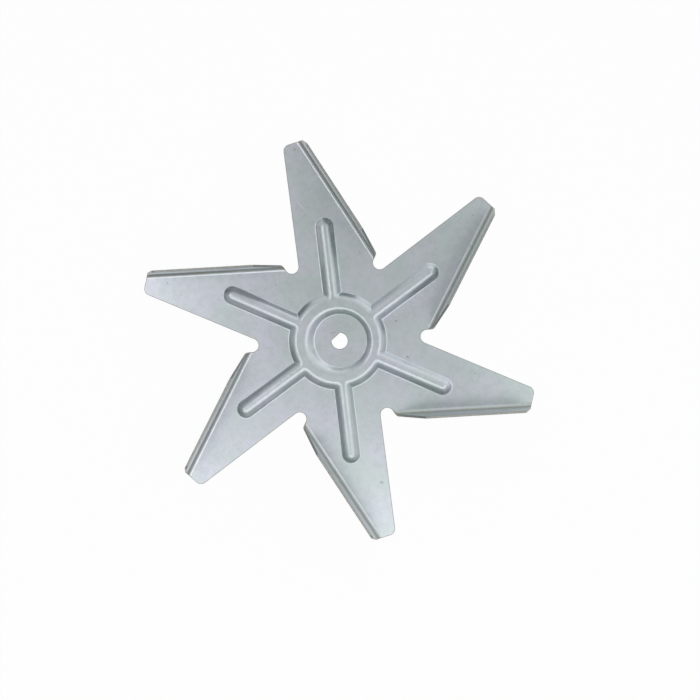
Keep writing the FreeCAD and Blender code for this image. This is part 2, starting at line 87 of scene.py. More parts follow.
class ImpellerSizes(bpy.types.PropertyGroup):
    """Sizes of the pressed and folded sheet."""

    wheel_diameter: length_property("Wheel diameter", "Circle of the outer corners", 0.150)
    sheet_thickness: length_property("Sheet thickness", "Gauge of the steel sheet", 0.0008)
    blade_height: length_property("Blade height", "From the lower face to the free edge",
                                  NODE_HIGH.z - NODE_LOW.z)
    bend_bearing: angle_property("Bend bearing", "Direction of the first bend line", 50.4)
    bend_offset: length_property("Bend offset", "From the shaft to a blade's inner face", 0.0282)
    bend_radius: length_property("Bend radius", "Inner radius of the fold", 0.001)
    bend_lead: length_property("Bend lead", "How much earlier the sheet starts to curve", 0.00055)
    border_offset: length_property("Border offset", "From the shaft to the plain border", 0.0115)
    tip_angle: angle_property("Tip angle", "Between the bend line and the tip edge", 74.4)
    tip_width: length_property("Tip width", "Length of the tip edge on the plate", 0.0056)
    tip_corner_radius: length_property("Tip corner radius", "Round corner of the plate", 0.0025)
    notch_radius: length_property("Notch radius", "Round relief at the root of two arms", 0.0025)
    blade_end_angle: angle_property("Blade end angle", "Slope of the blade's inner end", 58.0)
    blade_corner_radius: length_property("Blade corner radius", "Round corner of the blade", 0.002)
    shaft_hole_diameter: length_property("Shaft hole diameter", "Round part of the hole", 0.006)
    shaft_flat_depth: length_property("Shaft flat depth", "How far the flat cuts in", 0.00085)
    relief_height: length_property("Relief height", "How high the ring and ribs stand", 0.002)
    relief_wall_angle: angle_property("Relief wall angle", "Slope of the pressed walls", 48.0)
    relief_foot_radius: length_property("Relief foot radius", "Inner radius at the foot", 0.0007)
    relief_crest_radius: length_property("Relief crest radius", "Inner radius at the top", 0.002)
    corner_foot_radius: length_property("Corner foot radius", "Rib and ring, at the foot", 0.0003)
    corner_crest_radius: length_property("Corner crest radius", "Rib and ring, at the top", 0.0018)
    ring_radius: length_property("Ring radius", "Middle of the raised ring", 0.0139)
    ring_half_width: length_property("Ring half width", "At half the height of its walls", 0.003)
    rib_half_width: length_property("Rib half width", "At half the height of its walls", 0.0022)
    rib_angle: angle_property("Rib angle", "Between a rib and its bend line", 26.6)
    rib_end_gap: length_property("Rib end gap", "Between the rib's end and the blade", 0.0083)
    press_shift: length_property("Press shift", "How far off-centre the relief is", 0.00065)
    press_bearing: angle_property("Press bearing", "The way the relief is shifted", 42.0)
    well_lean: length_property("Well lean", "How far the wall round the nut leans", 0.0005)
    well_bearing: angle_property("Well bearing", "The side where that wall is gentler", 82.0)
    rollover: length_property("Rollover", "Rounding that the punch leaves on top", 0.0002)
    burr_break: length_property("Burr break", "Rounding of the lower cut edge", 0.00006)


class ImpellerColours(bpy.types.PropertyGroup):
    """Colours of the zinc-coated sheet, of its cut edges and of the studio."""

    zinc_blue: colour_property("Zinc, bluish", "Passivated zinc where it looks blue", "#DADDE7")
    zinc_green: colour_property("Zinc, greenish", "Passivated zinc where it looks green", "#D0DCDC")
    # On the crests this colour is painted shade that tones down their highlights; on the handled
    # spots it is the coat's own dull tone.
    zinc_dull_and_crest_shade: colour_property("Zinc, dull", "Handled spots and rubbed crests", "#C0C7CB")
    zinc_speck: colour_property("Zinc, speck", "Small dark specks in the coat", "#888F96")
    # Painted shade along the folds and, thinner, over the blades.
    painted_fold_shade: colour_property("Film in folds", "Dull film along the folds", "#B4B5AA")
    bare_steel: colour_property("Bare steel", "Upper part of the cut edge", "#ABADA8")
    # This colour also paints shade on the punch's lip, at the top of the cut edge.
    broken_steel_and_lip_shade: colour_property("Broken steel", "Lower part of the cut edge", "#8F918C")
    floor: colour_property("Floor", "Pale paper floor", "#F4F5F6")


def turned(points, angle):
    """Flat points turned about the shaft."""
    cosine, sine = math.cos(angle), math.sin(angle)
    points = np.asarray(points, float)
    return np.stack([points[..., 0] * cosine - points[..., 1] * sine,
                     points[..., 0] * sine + points[..., 1] * cosine], axis=-1)


def polar(radius, angle):
    return np.array([radius * math.cos(angle), radius * math.sin(angle)])


def line_points(start, end, spacing):
    """Even points of a straight edge, without its end."""
    start, end = np.asarray(start, float), np.asarray(end, float)
    count = max(1, round(float(np.hypot(*(end - start))) / spacing))
    share = np.arange(count)[:, None] / count
    return start + (end - start) * share


def arc_points(centre, radius, start, end, count):
    """Even points of a round edge, without its end."""
    angles = start + (end - start) * np.arange(count) / count
    return np.asarray(centre) + radius * np.stack([np.cos(angles), np.sin(angles)], axis=-1)


class Sheet:
    """The flat blank, and where pressing and folding take each of its points.

    In an arm's own frame x runs along its bend line and y across it, towards the plain
    border. The blade is the flap below the line where the bend starts.
    """

    ARMS = 6

    # Distances between the mesh's points along edges, folds and walls, and in flat fields.
    # Points of a field keep a share of their distance from all others.
    EDGE_SPACING = 0.6 * MM
    BEND_SPACING = 1.1 * MM
    RELIEF_SPACING = 0.5 * MM
    FIELD_SPACING = 2.2 * MM
    FIELD_CLEARANCE = 0.6
    # Points on each round edge.
    BLADE_CORNER_POINTS = 8
    TIP_CORNER_POINTS = 12
    NOTCH_POINTS = 18
    HOLE_POINTS = 48
    RIB_END_POINTS = 24
    RIB_CORNER_POINTS = 8
    # Rows of points before and across a fold, across the foot and the crest of a wall, and
    # across each rounded side of a cut edge.
    LEAD_STEPS = 3
    BEND_STEPS = 8
    FOOT_ROWS = 5
    CREST_ROWS = 7
    CUT_ROWS = 4
    # Steps that find a point's inset, and how near an edge a point still counts as on it.
    INSET_STEPS = 8
    CLOSE = 0.01 * MM

    # The painted shade along a fold starts and is full at these turns of the fold. It thins
    # out up the blade over this height, down to its least share.
    FOLD_SHADE_START = math.radians(20)
    FOLD_SHADE_FULL = math.radians(45)
    FOLD_SHADE_HEIGHT = 6 * MM
    FOLD_SHADE_LEAST = 0.25

    def __init__(self, sizes):
        self.sizes = sizes
        self.thickness = sizes.sheet_thickness
        self.step = FULL_TURN / self.ARMS
        # The sheet curves from a little before the line where the plate's edges turn.
        self.bend_start = sizes.bend_radius - sizes.bend_offset
        self.bend_mid = sizes.bend_radius + self.thickness / 2 + sizes.bend_lead
        self.wrap = RIGHT_ANGLE * self.bend_mid - sizes.bend_lead
        upright = sizes.blade_height - self.thickness / 2 - self.bend_mid
        self.flap_edge = self.bend_start - self.wrap - upright
        self.place_tip()
        self.place_notches()
        self.place_relief()

    def place_tip(self):
        """Start of the tip edge on the bend line, the way across the plain border, and the
        middle of the plate's round corner."""
        sizes = self.sizes
        outer = sizes.bend_offset + self.thickness
        outer_along = math.sqrt((sizes.wheel_diameter / 2) ** 2 - outer ** 2)
        tip_run = (outer + self.bend_start) / math.tan(sizes.tip_angle)
        self.tip_start = np.array([outer_along + tip_run, self.bend_start])
        tip_end = self.tip_start + polar(sizes.tip_width, sizes.tip_angle)
        tip_bearing = math.atan2(tip_end[1], tip_end[0])
        self.across = tip_bearing + math.acos(sizes.border_offset / math.hypot(*tip_end))
        radius = sizes.tip_corner_radius
        base = self.tip_start + polar(radius, sizes.tip_angle + RIGHT_ANGLE)
        shortfall = sizes.border_offset - radius - float(base @ polar(1, self.across))
        climb = shortfall / math.cos(sizes.tip_angle - self.across)
        self.corner = base + polar(climb, sizes.tip_angle)

    def place_notches(self):
        """Middles of the round reliefs on both sides of an arm, and the blade's heel."""
        sizes = self.sizes
        fan = self.step + RIGHT_ANGLE - self.across
        bend = sizes.bend_offset
        along = (sizes.border_offset + sizes.notch_radius + bend * math.cos(fan)) / math.sin(fan)
        self.notch_low = np.array([along, -bend])
        self.notch_high = turned(self.notch_low, self.step)
        self.heel = self.notch_low + polar(sizes.notch_radius, RIGHT_ANGLE - sizes.blade_end_angle)

    def place_relief(self):
        """Walls are measured across, from half their height: less than zero towards the
        foot, more than zero towards the crest. That measure is called the inset."""
        sizes = self.sizes
        slope = sizes.relief_wall_angle
        self.foot_turn = sizes.relief_foot_radius + self.thickness / 2
        self.crest_turn = sizes.relief_crest_radius + self.thickness / 2
        half_wall = sizes.relief_height / 2 / math.tan(slope)
        self.foot_start = -half_wall - self.foot_turn * math.tan(slope / 2)
        self.crest_end = half_wall + self.crest_turn * math.tan(slope / 2)
        self.ring_outer = sizes.ring_radius + sizes.ring_half_width
        self.ring_inner = sizes.ring_radius - sizes.ring_half_width
        self.rib_reach = (sizes.bend_offset - sizes.rib_end_gap) / math.sin(sizes.rib_angle)
        self.rib_end = self.rib_reach - sizes.rib_half_width
        self.ring_shift = polar(sizes.press_shift, sizes.press_bearing)

    def wall_share(self, inset):
        """Share of the way across a wall, from its foot to its crest."""
        return (inset - self.foot_start) / (self.crest_end - self.foot_start)

    def rib_corner(self, inset):
        """Radius of the corner between ring and rib, and its middle in the rib's frame."""
        sizes = self.sizes
        spread = sizes.corner_crest_radius - sizes.corner_foot_radius
        radius = sizes.corner_foot_radius + spread * self.wall_share(inset)
        across = sizes.rib_half_width - inset + radius
        along = np.sqrt((self.ring_outer - inset + radius) ** 2 - across ** 2)
        return radius, along, across

    def well_middle(self, inset):
        """Middle of the round wall inside the ring, which leans to one side."""
        lean = self.sizes.well_lean * (2 * self.wall_share(inset) - 1)
        return np.multiply.outer(lean, polar(1, self.sizes.well_bearing))

    def rib_bearing(self, arm):
        return self.sizes.bend_bearing - self.sizes.rib_angle + arm * self.step

    def arm_bearing(self, arm):
        return self.sizes.bend_bearing + arm * self.step

    def heel_along(self, y):
        """Where the blade's sloping inner end is, at a level of the blank."""
        return self.heel[0] + (self.heel[1] - y) / math.tan(self.sizes.blade_end_angle)

    def tip_along(self, y):
        """Where the tip edge is, at a level of the blank."""
        return self.tip_start[0] + (y - self.bend_start) / math.tan(self.sizes.tip_angle)

    def bend_levels(self):
        """Lines across the fold, from where it starts on the solids to the upright blade."""
        share = np.arange(self.BEND_STEPS + 1) / self.BEND_STEPS
        return self.bend_start - self.wrap * share

    def arm_outline(self):
        """Edge of one arm, from its heel round the blade, tip and border to the next notch."""
        sizes = self.sizes
        levels = self.bend_levels()
        radius = sizes.blade_corner_radius
        crown_y = self.flap_edge + radius
        crown = np.array([self.tip_along(crown_y) - radius / math.sin(sizes.tip_angle), crown_y])
        touch = crown + polar(radius, sizes.tip_angle - RIGHT_ANGLE)
        heel_end = np.array([self.heel_along(self.flap_edge), self.flap_edge])
        heel_bend = np.stack([self.heel_along(levels), levels], axis=-1)
        tip_bend = np.stack([self.tip_along(levels), levels], axis=-1)[::-1]
        border_touch = self.corner + polar(sizes.tip_corner_radius, self.across)
        border_end = self.notch_high - polar(sizes.notch_radius, self.across)
        tip_touch = self.corner + polar(sizes.tip_corner_radius, sizes.tip_angle - RIGHT_ANGLE)
        notch_end = self.step + RIGHT_ANGLE - sizes.blade_end_angle
        spacing = self.EDGE_SPACING
        return np.concatenate([
            line_points(self.heel, heel_bend[0], spacing),
            heel_bend[:-1],
            line_points(heel_bend[-1], heel_end, spacing),
            line_points(heel_end, (crown[0], self.flap_edge), spacing),
            arc_points(crown, radius, -RIGHT_ANGLE, sizes.tip_angle - RIGHT_ANGLE,
                       self.BLADE_CORNER_POINTS),
            line_points(touch, tip_bend[0], spacing),
            tip_bend[:-1],
            line_points(tip_bend[-1], tip_touch, spacing),
            arc_points(self.corner, sizes.tip_corner_radius,
                       sizes.tip_angle - RIGHT_ANGLE, self.across, self.TIP_CORNER_POINTS),
            line_points(border_touch, border_end, spacing),
            arc_points(self.notch_high, sizes.notch_radius, self.across + math.pi, notch_end,
                       self.NOTCH_POINTS),
        ])

    def outline(self):
        """Cut edge of the whole blank, arm by arm."""
        return np.concatenate([turned(self.arm_outline(), self.arm_bearing(arm))
                               for arm in range(self.ARMS)])

    def shaft_outline(self):
        """Cut edge of the D-shaped shaft hole."""
        radius = self.sizes.shaft_hole_diameter / 2
        flat = radius - self.sizes.shaft_flat_depth
        half = math.acos(flat / radius)
        return np.concatenate([
            arc_points((0, 0), radius, half, FULL_TURN - half, self.HOLE_POINTS),
            line_points(polar(radius, -half), polar(radius, half), self.EDGE_SPACING / 2),
        ])

    def relief_insets(self):
        """Rows of points across a pressed wall, from its foot to its crest."""
        slope = self.sizes.relief_wall_angle
        foot_turns = np.linspace(0, slope, self.FOOT_ROWS)
        crest_turns = np.linspace(slope, 0, self.CREST_ROWS)
        foot = self.foot_start + self.foot_turn * np.sin(foot_turns)
        crest = self.crest_end - self.crest_turn * np.sin(crest_turns)
        return np.concatenate([foot, [(foot[-1] + crest[0]) / 2], crest])

    def rib_outline(self, inset):
        """Outer wall of the ring and one rib, at an inset from the middle of the wall."""
        half = self.sizes.rib_half_width - inset
        ring = self.ring_outer - inset
        fillet, along, across = self.rib_corner(inset)
        bearing = math.atan2(across, along)
        sixth = self.step / 2
        ring_count = round(self.ring_outer * (sixth - bearing) / self.RELIEF_SPACING)
        side_count = round((self.rib_end - along) / self.RELIEF_SPACING)
        side_start, side_end = np.array([(along, -half), (self.rib_end, -half)])
        share = np.arange(side_count)[:, None] / side_count
        side = side_start + (side_end - side_start) * share
        back = side_end + (side_start - side_end) * share
        return np.concatenate([
            arc_points((0, 0), ring, -sixth, -bearing, ring_count),
            arc_points((along, -across), fillet, math.pi - bearing, RIGHT_ANGLE,
                       self.RIB_CORNER_POINTS),
            side,
            arc_points((self.rib_end, 0), half, -RIGHT_ANGLE, RIGHT_ANGLE, self.RIB_END_POINTS),
            back * (1, -1),
            arc_points((along, across), fillet, -RIGHT_ANGLE, bearing - math.pi,
                       self.RIB_CORNER_POINTS),
            arc_points((0, 0), ring, bearing, sixth, ring_count),
        ])

    def relief_rows(self):
        """Closed rows of points along the walls outside and inside the ring."""
        rows = []
        for inset in self.relief_insets():
            outline = self.rib_outline(inset)
            whole = np.concatenate([turned(outline, self.rib_bearing(arm))
                                    for arm in range(self.ARMS)])
            rows.append(whole + self.ring_shift)
            count = round(FULL_TURN * self.ring_inner / self.RELIEF_SPACING)
            middle = self.well_middle(inset)
            rows.append(arc_points(middle, self.ring_inner + inset, 0, FULL_TURN, count))
        return rows

    def past_wall(self, points, inset):
        """How far points lie inside the line that the walls follow at an inset."""
        from_middle = points - self.ring_shift
        radius = np.hypot(from_middle[:, 0], from_middle[:, 1])
        bearing = np.arctan2(from_middle[:, 1], from_middle[:, 0]) - self.rib_bearing(0)
        # All ribs are alike, so each point is measured against the nearest one.
        nearest = (bearing + self.step / 2) % self.step - self.step / 2
        along, aside = radius * np.cos(nearest), np.abs(radius * np.sin(nearest))
        past_end = np.maximum(along - self.rib_end, 0)
        rib = self.sizes.rib_half_width - inset - np.hypot(past_end, aside)
        fillet, corner_along, corner_across = self.rib_corner(inset)
        corner = np.hypot(along - corner_along, aside - corner_across) - fillet
        in_corner = np.abs(nearest) < np.arctan2(corner_across, corner_along)
        outer = np.where(in_corner, corner, self.ring_outer - inset - radius)
        outer = np.where(along > corner_along, rib, outer)
        from_well = points - self.well_middle(inset)
        inner = np.hypot(from_well[:, 0], from_well[:, 1]) - self.ring_inner - inset
        return np.minimum(outer, inner)

    def relief_inset(self, points):
        """Inset of the wall line that runs through each point, found step by step."""
        inset = np.zeros(len(points))
        for _ in range(self.INSET_STEPS):
            inset = inset + self.past_wall(points, inset)
            inset = np.clip(inset, self.foot_start, self.crest_end)
        return inset

    def relief_level(self, points):
        """Height of the pressed ring and ribs above the plate, at the sheet's middle."""
        slope, height = self.sizes.relief_wall_angle, self.sizes.relief_height
        inset = self.relief_inset(points)
        climb = inset - self.foot_start
        fall = self.crest_end - inset
        foot = self.foot_turn - np.sqrt(np.maximum(self.foot_turn ** 2 - climb ** 2, 0))
        crest = self.crest_turn - np.sqrt(np.maximum(self.crest_turn ** 2 - fall ** 2, 0))
        wall = height / 2 + inset * math.tan(slope)
        in_foot = climb < self.foot_turn * math.sin(slope)
        in_crest = fall < self.crest_turn * math.sin(slope)
        return np.where(in_foot, foot, np.where(in_crest, height - crest, wall))

    def crest_turning(self, points):
        """How much the die bent the crests outward: 1 at most, and 0 on flat sheet."""
        slope = self.sizes.relief_wall_angle
        crest = (self.crest_end - self.relief_inset(points)) / (self.crest_turn * math.sin(slope))
        return np.sin(math.pi * np.clip(crest, 0, 1))

    def level(self, points):
        """Height of the sheet's middle where nothing is folded yet."""
        return self.thickness / 2 + self.relief_level(points)

    def shaped(self, blank):
        """Places, upward directions and turning of the sheet's middle, after pressing and
        folding. The turning is above zero on crests, where the die bent the sheet, and below
        zero in the folds and over the blades, where it is the share of painted shade."""
        nudge = 0.001 * MM
        lead = self.sizes.bend_lead
        level = self.level(blank)
        places = np.column_stack([blank, level])
        slope_x = (self.level(blank + (nudge, 0)) - self.level(blank - (nudge, 0))) / (2 * nudge)
        slope_y = (self.level(blank + (0, nudge)) - self.level(blank - (0, nudge))) / (2 * nudge)
        normals = np.column_stack([-slope_x, -slope_y, np.ones(len(blank))])
        normals /= np.linalg.norm(normals, axis=1)[:, None]
        turning = self.crest_turning(blank)
        for arm in range(self.ARMS):
            bearing = self.arm_bearing(arm)
            local = turned(blank, -bearing)
            # How far a point lies beyond the line where the plate's edges turn up.
            past = self.bend_start - local[:, 1]
            in_flap = (past > 0) & (local[:, 0] > self.heel_along(local[:, 1]) - self.CLOSE)
            in_flap &= (local[:, 1] > self.flap_edge - self.CLOSE)
            in_lead = np.abs(past + lead / 2) <= lead / 2
            in_flap |= in_lead & (local[:, 0] > self.notch_low[0])
            # The sheet's middle keeps its length: it turns evenly, and then runs straight up.
            x, past = local[in_flap, 0], past[in_flap]
            turn = np.minimum((past + lead) / self.bend_mid, RIGHT_ANGLE)
            y = self.bend_start + lead - self.bend_mid * np.sin(turn)
            rise = self.bend_mid * (1 - np.cos(turn)) + np.maximum(past - self.wrap, 0)
            places[in_flap, :2] = turned(np.column_stack([x, y]), bearing)
            places[in_flap, 2] = self.thickness / 2 + rise
            normals[in_flap, :2] = turned(np.column_stack([0 * turn, np.sin(turn)]), bearing)
            normals[in_flap, 2] = np.cos(turn)
            # Painted shade in the fold, full once the fold has turned far enough, and thinning out
            # up the blade.
            height = np.maximum(past - self.wrap, 0) / self.FOLD_SHADE_HEIGHT
            fold_shade = np.clip((turn - self.FOLD_SHADE_START) / (self.FOLD_SHADE_FULL - self.FOLD_SHADE_START), 0, 1)
            turning[in_flap] = -fold_shade * np.maximum(1 - height, self.FOLD_SHADE_LEAST)
        return places, normals, turning

    def field_points(self, taken):
        """Even points of the flat fields, clear of the points that are there already."""
        spacing = self.FIELD_SPACING
        reach = self.sizes.wheel_diameter / 2
        columns, rows = np.meshgrid(np.arange(-reach, reach, spacing),
                                    np.arange(-reach, reach, spacing * math.sqrt(3) / 2))
        columns = columns + (np.arange(len(rows)) % 2)[:, None] * spacing / 2
        grid = np.column_stack([columns.ravel(), rows.ravel()])
        tree = kdtree.KDTree(len(taken))
        for number, (x, y) in enumerate(taken):
            tree.insert((x, y, 0), number)
        tree.balance()
        clearance = self.FIELD_CLEARANCE * spacing
        clear = []
        for x, y in grid:
            _, _, distance = tree.find((x, y, 0))
            clear.append(distance > clearance)
        return grid[np.array(clear)]

    def bend_rows(self):
        """Rows of points along each bend, without their ends, which the outline holds."""
        rows = []
        steps = np.arange(1, self.LEAD_STEPS + 1) / self.LEAD_STEPS
        early = self.bend_start + self.sizes.bend_lead * steps
        for level in np.concatenate([early, self.bend_levels()]):
            start, end = self.heel_along(level), self.tip_along(level)
            count = round((end - start) / self.BEND_SPACING)
            along = start + (end - start) * np.arange(1, count) / count
            row = np.column_stack([along, np.full(count - 1, level)])
            rows += [turned(row, self.arm_bearing(arm)) for arm in range(self.ARMS)]
        return rows


def encloses(loop, points):
    """Which points lie inside a closed loop."""
    x, y = points[:, 0], points[:, 1]
    inside = np.zeros(len(points), bool)
    for (x1, y1), (x2, y2) in zip(loop, np.roll(loop, -1, axis=0)):
        if y1 != y2:
            crosses = (y1 > y) != (y2 > y)
            inside ^= crosses & (x < x1 + (x2 - x1) * (y - y1) / (y2 - y1))
    return inside


def loop_edges(first, count):
    """Edges of a closed loop of points that are numbered from the first on."""
    return [(first + number, first + (number + 1) % count) for number in range(count)]


# The triangulation works in millimetres, keeps its whole hull, and joins points that are
# nearer than this.
KEEP_HULL = 0
JOIN_WITHIN = 1e-5


def triangulate(sheet):
    """Triangles of the flat blank, with its two cut edges as loops of point numbers."""
    loops = [sheet.outline(), sheet.shaft_outline()]
    rows = sheet.relief_rows()
    bends = sheet.bend_rows()
    taken = np.concatenate(loops + rows + bends)
    field = sheet.field_points(taken)
    points = np.concatenate([taken, field[encloses(loops[0], field)]])
    edges, first = [], 0
    for loop in loops + rows:
        edges += loop_edges(first, len(loop))
        first += len(loop)
    in_mm = [Vector(point) for point in points / MM]
    found = delaunay_2d_cdt(in_mm, edges, [], KEEP_HULL, JOIN_WITHIN, True)
    verts, _, faces, origins = found[:4]
    blank = np.array([tuple(vert) for vert in verts]) * MM
    triangles = np.array(faces)
    sides = blank[triangles]
    first_side, second_side = sides[:, 1] - sides[:, 0], sides[:, 2] - sides[:, 0]
    area = first_side[:, 0] * second_side[:, 1] - first_side[:, 1] * second_side[:, 0]
    triangles[area < 0] = triangles[area < 0][:, ::-1]
    # The hull also covers the gaps between the arms and the shaft hole.
    middle = sides.mean(axis=1)
    triangles = triangles[encloses(loops[0], middle) & ~encloses(loops[1], middle)]
    # The points have new numbers now, and those that no triangle uses are left out.
    number_of = {origin: number for number, group in enumerate(origins) for origin in group}
    outline = [number_of[number] for number in range(len(loops[0]))]
    hole_edge = [number_of[len(loops[0]) + number] for number in range(len(loops[1]))]
    used = np.unique(triangles)
    renumber = np.full(len(blank), -1)
    renumber[used] = np.arange(len(used))
    return blank[used], renumber[triangles], renumber[outline], renumber[hole_edge[::-1]]


def cut_edge_rings(sheet):
    """Section of a cut edge, from the upper face down: how far inside, how far above the
    middle, and the way it faces."""
    half = sheet.thickness / 2
    rings = []
    for side, radius in ((1, sheet.sizes.rollover), (-1, sheet.sizes.burr_break)):
        turns = np.linspace(RIGHT_ANGLE, 0, sheet.CUT_ROWS)
        ring = [(radius * (math.cos(turn) - 1), side * (half - radius + radius * math.sin(turn)),
                 math.cos(turn), side * math.sin(turn)) for turn in turns]
        rings += ring if side > 0 else ring[::-1]
    return rings


def sheet_mesh(sheet):
    """Closed mesh of the sheet: upper face, lower face and rounded cut edges."""
    blank, triangles, outline, hole_edge = triangulate(sheet)
    places, normals, turning = sheet.shaped(blank)
    half = sheet.thickness / 2
    count = len(blank)
    upper, lower = places + normals * half, places - normals * half
    verts, directions = [upper, lower], [normals, -normals]
    turnings, depths = [turning, -turning], [np.zeros(count), np.ones(count)]
    faces = [tuple(face) for face in triangles] + [tuple(face[::-1] + count) for face in triangles]
    sheet_faces = len(faces)
    rings = cut_edge_rings(sheet)
    total = 2 * count
    for loop in (outline, hole_edge):
        here = places[loop]
        along = np.roll(here, -1, axis=0) - np.roll(here, 1, axis=0)
        outward = np.cross(along, normals[loop])
        outward /= np.linalg.norm(outward, axis=1)[:, None]
        ring_numbers = []
        for number, (inside, above, out_share, up_share) in enumerate(rings):
            ring = here + outward * inside + normals[loop] * above
            # The first and the last ring are the border points of the two faces.
            if number == 0:
                upper[loop] = ring
                ring_numbers.append(loop)
            elif number == len(rings) - 1:
                lower[loop] = ring
                ring_numbers.append(loop + count)
            else:
                verts.append(ring)
                directions.append(outward * out_share + normals[loop] * up_share)
                turnings.append(np.zeros(len(loop)))
                depths.append(np.full(len(loop), number / (len(rings) - 1)))
                ring_numbers.append(np.arange(total, total + len(loop)))
                total += len(loop)
        for above, below in zip(ring_numbers, ring_numbers[1:]):
            faces += zip(above, below, np.roll(below, -1), np.roll(above, -1))
    mesh = bpy.data.meshes.new("impeller_sheet")
    mesh.from_pydata(np.concatenate(verts).tolist(), [], [tuple(map(int, f)) for f in faces])
    mesh.polygons.foreach_set("use_smooth", [True] * len(faces))
    is_cut = [number >= sheet_faces for number in range(len(faces))]
    mesh.polygons.foreach_set("material_index", [int(cut) for cut in is_cut])
    mesh.normals_split_custom_set_from_vertices(np.concatenate(directions).tolist())
    for name, values in (("turning", turnings), ("cut_depth", depths)):
        attribute = mesh.attributes.new(name, "FLOAT", "POINT")
        attribute.data.foreach_set("value", np.concatenate(values).astype(np.float32))
    mesh.update()
    return mesh


# Numbers of the Mix node's two colour inputs and of its colour output. Its sockets for
# other types of data have the same names.
MIX_FIRST = 6
MIX_SECOND = 7
MIX_RESULT = 2


def add_node(tree, kind, settings=None, links=None):
    """Shader node with its settings, its input values and what feeds its inputs. An input
    goes by its name, or by its number where several have one name."""
    node = tree.nodes.new(kind)
    for name, value in (settings or {}).items():
        if isinstance(name, str) and hasattr(node, name):
            setattr(node, name, value)
        else:
            node.inputs[name].default_value = value
    for name, source in (links or {}).items():
        tree.links.new(source, node.inputs[name])
    return node


def new_material(name):
    material = bpy.data.materials.new(name)
    material.use_nodes = True
    material.node_tree.nodes.clear()
    return material, material.node_tree


# Patterns of the coat: how large their marks are, then the detail and the distortion of the
# noise that draws them. Clouds are the passivation's, smudges come from handling, and
# pressing left the waves. Specks are the peaks of their noise, about 1 mm wide, and few.
# Zinc's grain is near 0.1 mm. It is drawn at 0.8 mm, so that it shows.
COAT_PATTERNS = {
    "smudges": (35 * MM, 3.0, 0.8),
    "clouds": (16 * MM, 2.0, 0.0),
    "waves": (6 * MM, 1.0, 0.0),
    "specks": (2.5 * MM, 1.0, 0.0),
    "blotches": (2.2 * MM, 1.0, 0.0),
    "grain": (0.8 * MM, 3.0, 0.0),
}
# Scratches are about 12 mm long. They are drawn 0.4 mm wide, so that they show.
SCRATCH_LENGTH = 12 * MM
SCRATCH_WIDTH = 0.4 * MM
SCRATCH_TURN = math.radians(20)
# The cast turns greener towards one side and bluer towards the other, by this share at
# this distance from the shaft.
GREEN_SIDE = (-0.62, -0.78, 0.0)
GREEN_REACH = 75 * MM
GREEN_DRIFT = 0.3
# What tints the coat, in this order: a pattern, where its tint starts and where it is full,
# the share that the tint has there, and its colour.
COAT_TINTS = (
    ("smudges", 0.5, 0.75, 0.35, "zinc_dull_and_crest_shade"),
    ("blotches", 0.4, 0.7, 0.35, "zinc_dull_and_crest_shade"),
    ("grain", 0.4, 0.7, 0.3, "zinc_dull_and_crest_shade"),
    ("specks", 0.75, 0.8, 0.5, "zinc_speck"),
    # Painted shade along the folds and over the blades.
    ("turning", 0.0, -1.0, 0.75, "painted_fold_shade"),
    # Painted shade on the crests, to tone down their highlights.
    ("turning", 0.0, 1.0, 0.3, "zinc_dull_and_crest_shade"),
)
# Roughness of the clean and of the smudged coat, and what adds to it: a pattern, where it
# is full, and how much rougher the coat is there. The coat is rough wherever the painted
# shade of the folds lies.
CLEAN_ROUGHNESS = 0.28
SMUDGED_ROUGHNESS = 0.33
COAT_ROUGHENING = (
    ("turning", -Sheet.FOLD_SHADE_LEAST, 0.2),
    ("turning", 1.0, 0.12),
    ("scratches", 1.0, 0.08),
)


def coat_patterns(tree, place):
    """Outputs of the coat's patterns, of its scratches and of the sheet's turning."""
    patterns = {}
    for name, (size, detail, distortion) in COAT_PATTERNS.items():
        noise = add_node(tree, "ShaderNodeTexNoise",
                         {"Scale": 1 / size, "Detail": detail, "Distortion": distortion},
                         {"Vector": place})
        patterns[name] = noise.outputs["Fac"]
    stretched = add_node(tree, "ShaderNodeMapping",
                         {"Rotation": (0.0, 0.0, SCRATCH_TURN),
                          "Scale": (1 / SCRATCH_LENGTH, 1 / SCRATCH_WIDTH, 1 / SCRATCH_LENGTH)},
                         {"Vector": place})
    strokes = add_node(tree, "ShaderNodeTexNoise",
                       {"Scale": 1.0, "Detail": 0.0, "Distortion": 0.6},
                       {"Vector": stretched.outputs["Vector"]})
    scratches = add_node(tree, "ShaderNodeMapRange", {"From Min": 0.77, "From Max": 0.84},
                         {"Value": strokes.outputs["Fac"]})
    turning = add_node(tree, "ShaderNodeAttribute", {"attribute_name": "turning"})
    patterns["scratches"] = scratches.outputs["Result"]
    patterns["turning"] = turning.outputs["Fac"]
    return patterns


